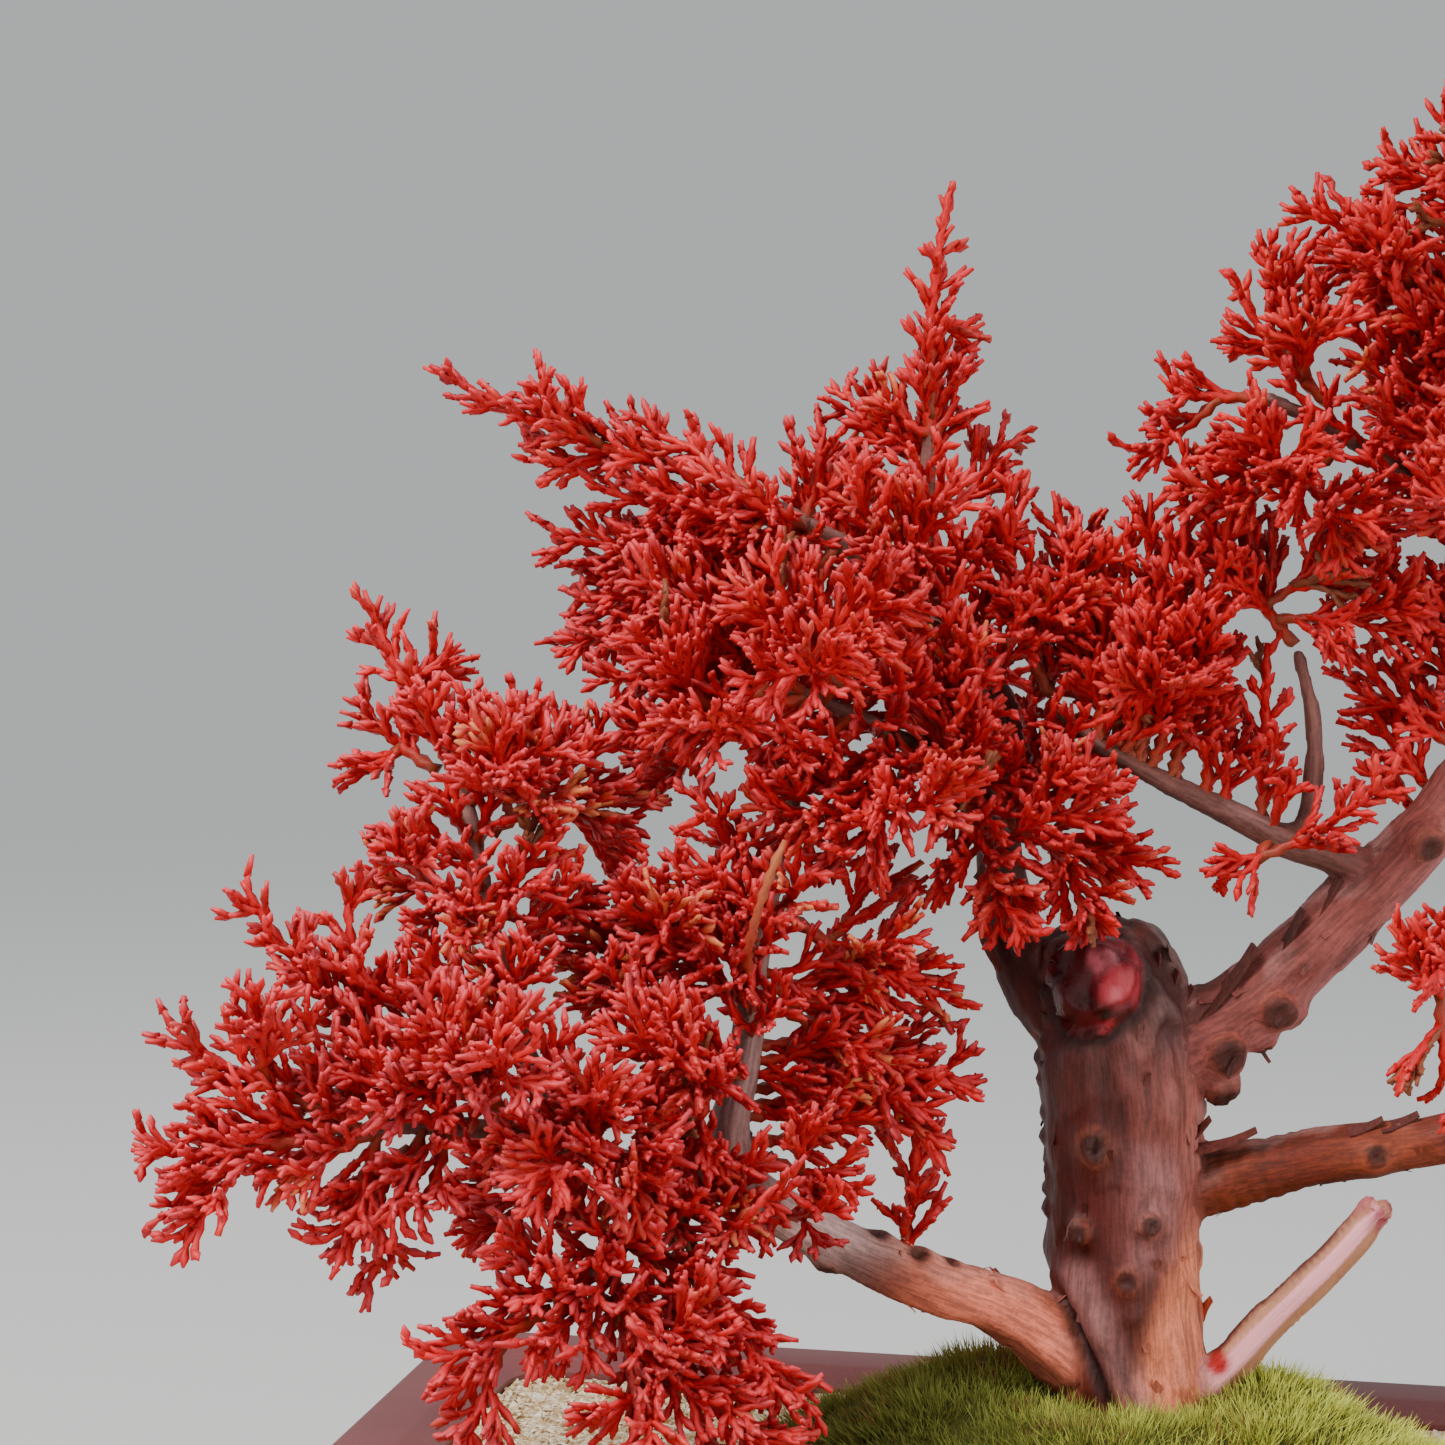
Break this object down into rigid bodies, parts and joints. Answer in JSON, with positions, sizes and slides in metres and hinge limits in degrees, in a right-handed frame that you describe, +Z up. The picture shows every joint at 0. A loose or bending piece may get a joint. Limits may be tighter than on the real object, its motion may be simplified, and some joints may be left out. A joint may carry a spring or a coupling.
{
  "type": "bonsai juniper in a clay pot",
  "caption": "Small informal upright juniper bonsai with dense whipcord foliage and flaky bark, standing in moss and sand in a shallow rectangular clay pot.",
  "frame": {"origin": "on the resting plane, under the middle of the whole tree and pot", "axes": "+Z up, +X along the pot's long side to the viewer's right, -Y towards the tree's front"},
  "size_m": [0.2212, 0.1426, 0.2411],
  "materials": {
    "pot_clay": "satin purple-brown stoneware, unglazed",
    "screen_plastic": "matte black moulded mesh",
    "potting_grit": "damp granular grit",
    "beige_sand": "dry beige sand and fine gravel",
    "green_moss": "fine upright moss fibres, olive to yellow-green",
    "juniper_bark": "flaky fibrous red-brown bark with grey-pink plates",
    "red_foliage": "waxy red scale-leaf cords, pinker at the tips"
  },
  "bodies": {
    "root": {"pot": "pot_clay", "drain_screen_left": "screen_plastic", "drain_screen_right": "screen_plastic", "soil": "potting_grit", "sand": "beige_sand", "moss": "green_moss", "wood": "juniper_bark", "leaves_centre_left": "red_foliage", "leaves_centre_low": "red_foliage", "leaves_centre_right": "red_foliage", "leaves_centre_up": "red_foliage", "leaves_crest_front": "red_foliage", "leaves_crest_left": "red_foliage", "leaves_crest_right": "red_foliage", "leaves_crown_edge": "red_foliage", "leaves_crown_face": "red_foliage", "leaves_crown_fore": "red_foliage", "leaves_crown_high": "red_foliage", "leaves_crown_layer": "red_foliage", "leaves_crown_rear": "red_foliage", "leaves_crown_right_high": "red_foliage", "leaves_crown_right_mid": "red_foliage", "leaves_crown_right_tip": "red_foliage", "leaves_crown_shoulder": "red_foliage", "leaves_crown_step": "red_foliage", "leaves_crown_tip": "red_foliage", "leaves_droop_back": "red_foliage", "leaves_droop_left": "red_foliage", "leaves_droop_right": "red_foliage", "leaves_elbow_front": "red_foliage", "leaves_elbow_right": "red_foliage", "leaves_fan_high": "red_foliage", "leaves_fan_low": "red_foliage", "leaves_far_high": "red_foliage", "leaves_far_low": "red_foliage", "leaves_far_mid": "red_foliage", "leaves_far_tip": "red_foliage", "leaves_grey_low": "red_foliage", "leaves_grey_top": "red_foliage", "leaves_left_inner": "red_foliage", "leaves_left_low": "red_foliage", "leaves_left_mid": "red_foliage", "leaves_left_peak": "red_foliage", "leaves_near_high": "red_foliage", "leaves_near_low": "red_foliage", "leaves_plume_crest": "red_foliage", "leaves_plume_front": "red_foliage", "leaves_plume_peak": "red_foliage", "leaves_plume_under": "red_foliage", "leaves_rear_left": "red_foliage", "leaves_right_fore": "red_foliage", "leaves_right_rear": "red_foliage", "leaves_right_tip": "red_foliage", "leaves_side_mid": "red_foliage", "leaves_side_tip": "red_foliage", "leaves_skirt_mid": "red_foliage", "leaves_skirt_right": "red_foliage", "leaves_stem_high": "red_foliage", "leaves_stem_left": "red_foliage", "leaves_tall_shoot": "red_foliage"}
  },
  "joints": []
}
